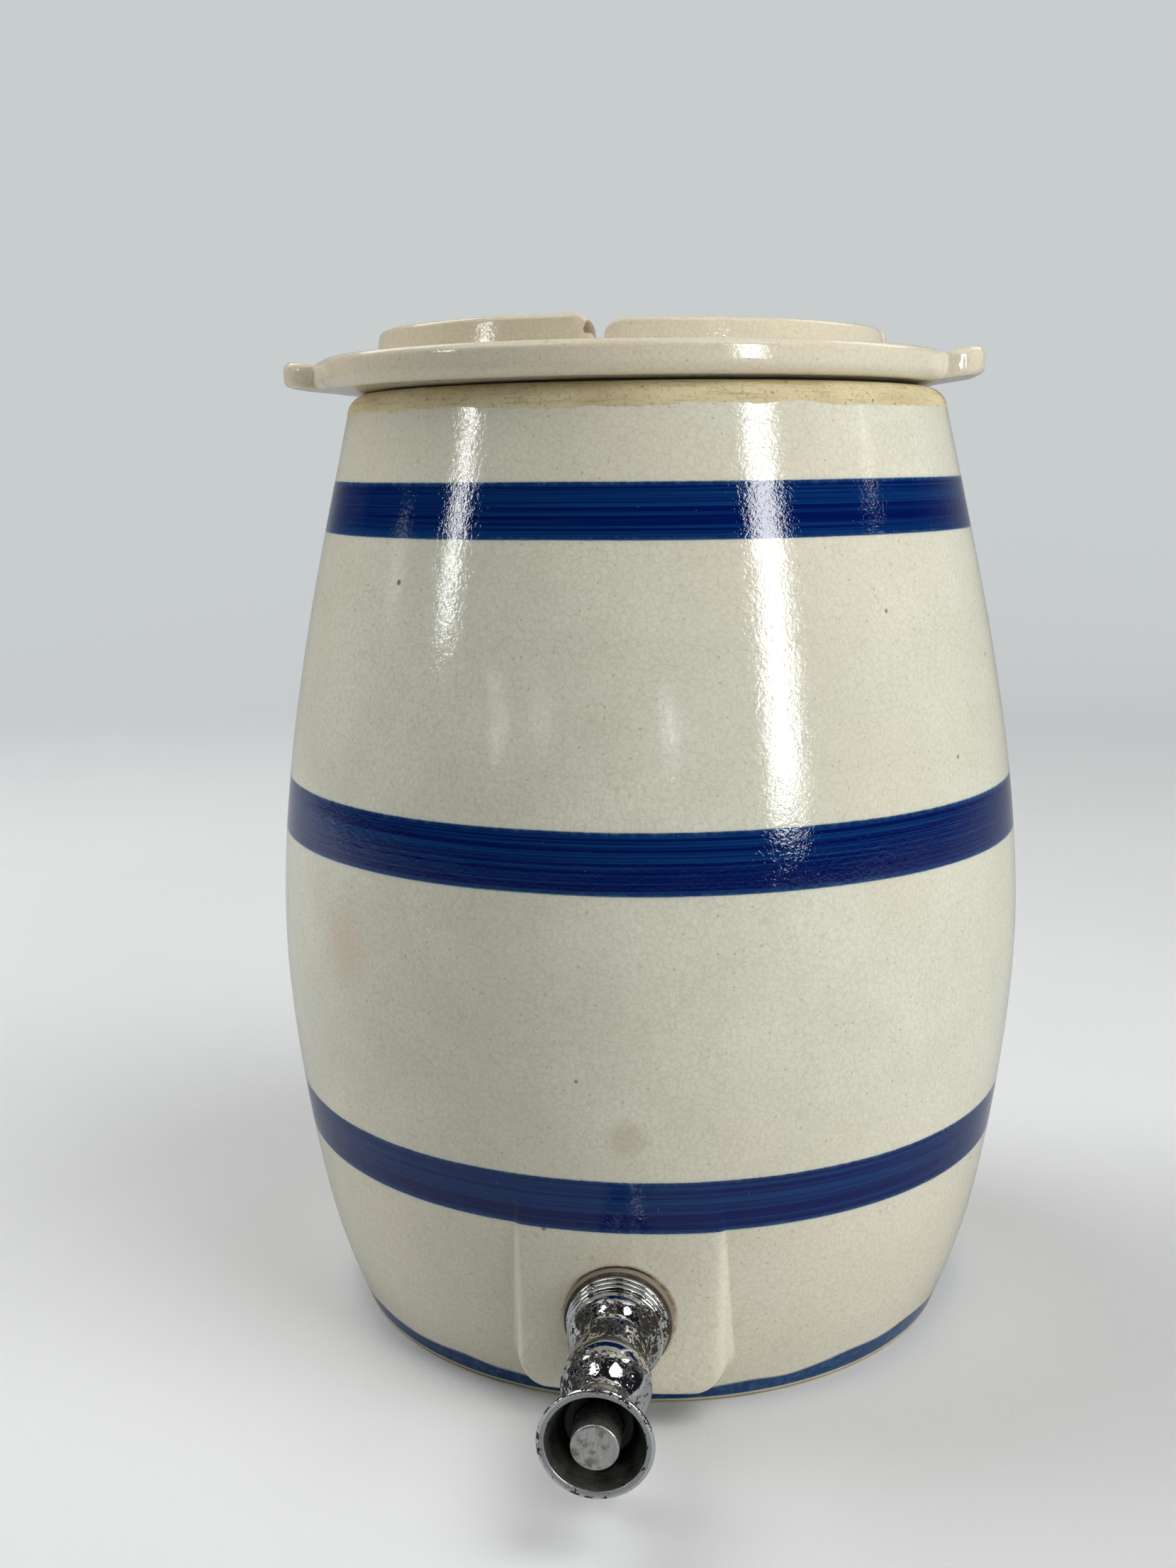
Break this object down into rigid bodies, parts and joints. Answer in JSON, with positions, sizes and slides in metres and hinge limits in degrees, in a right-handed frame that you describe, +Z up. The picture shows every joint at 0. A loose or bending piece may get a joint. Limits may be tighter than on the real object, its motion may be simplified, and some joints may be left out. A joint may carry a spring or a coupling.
{
  "type": "water cooler crock",
  "caption": "Barrel-shaped stoneware drink cooler with painted bands, a loose round lid with ears and a push-button tap.",
  "frame": {"origin": "centre of the crock's base, on the surface it stands on", "axes": "+Z up along the crock's axis, -Y towards the tap, +X to the right seen from the tap's side"},
  "size_m": [0.2424, 0.3008, 0.3153],
  "materials": {
    "stoneware": "glossy cream glaze with painted blue bands, bare tan rim and foot",
    "chrome": "worn, pitted chrome plate",
    "rubber": "aged dark brown rubber",
    "brass": "plain machined brass",
    "spring_steel": "drawn wire"
  },
  "bodies": {
    "pot": {"crock": "stoneware", "tap_body": "chrome", "outer_gasket": "rubber", "inner_washer": "rubber", "backing_washer": "brass", "shank_nut": "brass", "bell_cap": "chrome", "bonnet_gasket": "rubber", "stem_packing": "rubber", "packing_gland": "brass", "return_spring": "spring_steel"},
    "button": {"push_button": "chrome", "valve_stem": "brass", "valve_washer": "rubber", "valve_plate": "brass", "stem_nut": "brass"},
    "lid": {"lid": "stoneware"}
  },
  "joints": [
    {"name": "button_press", "type": "slide", "parent": "pot", "child": "button", "axis": [0, 1, 0], "range_m": [0, 0.0055], "stiffness_N_per_m": 300, "springref_m": -0.003, "deforming": ["return_spring"]},
    {"name": "lid_lift", "type": "slide", "parent": "pot", "child": "lid", "axis": [0, 0, 1], "range_m": [0, 0.3]}
  ]
}
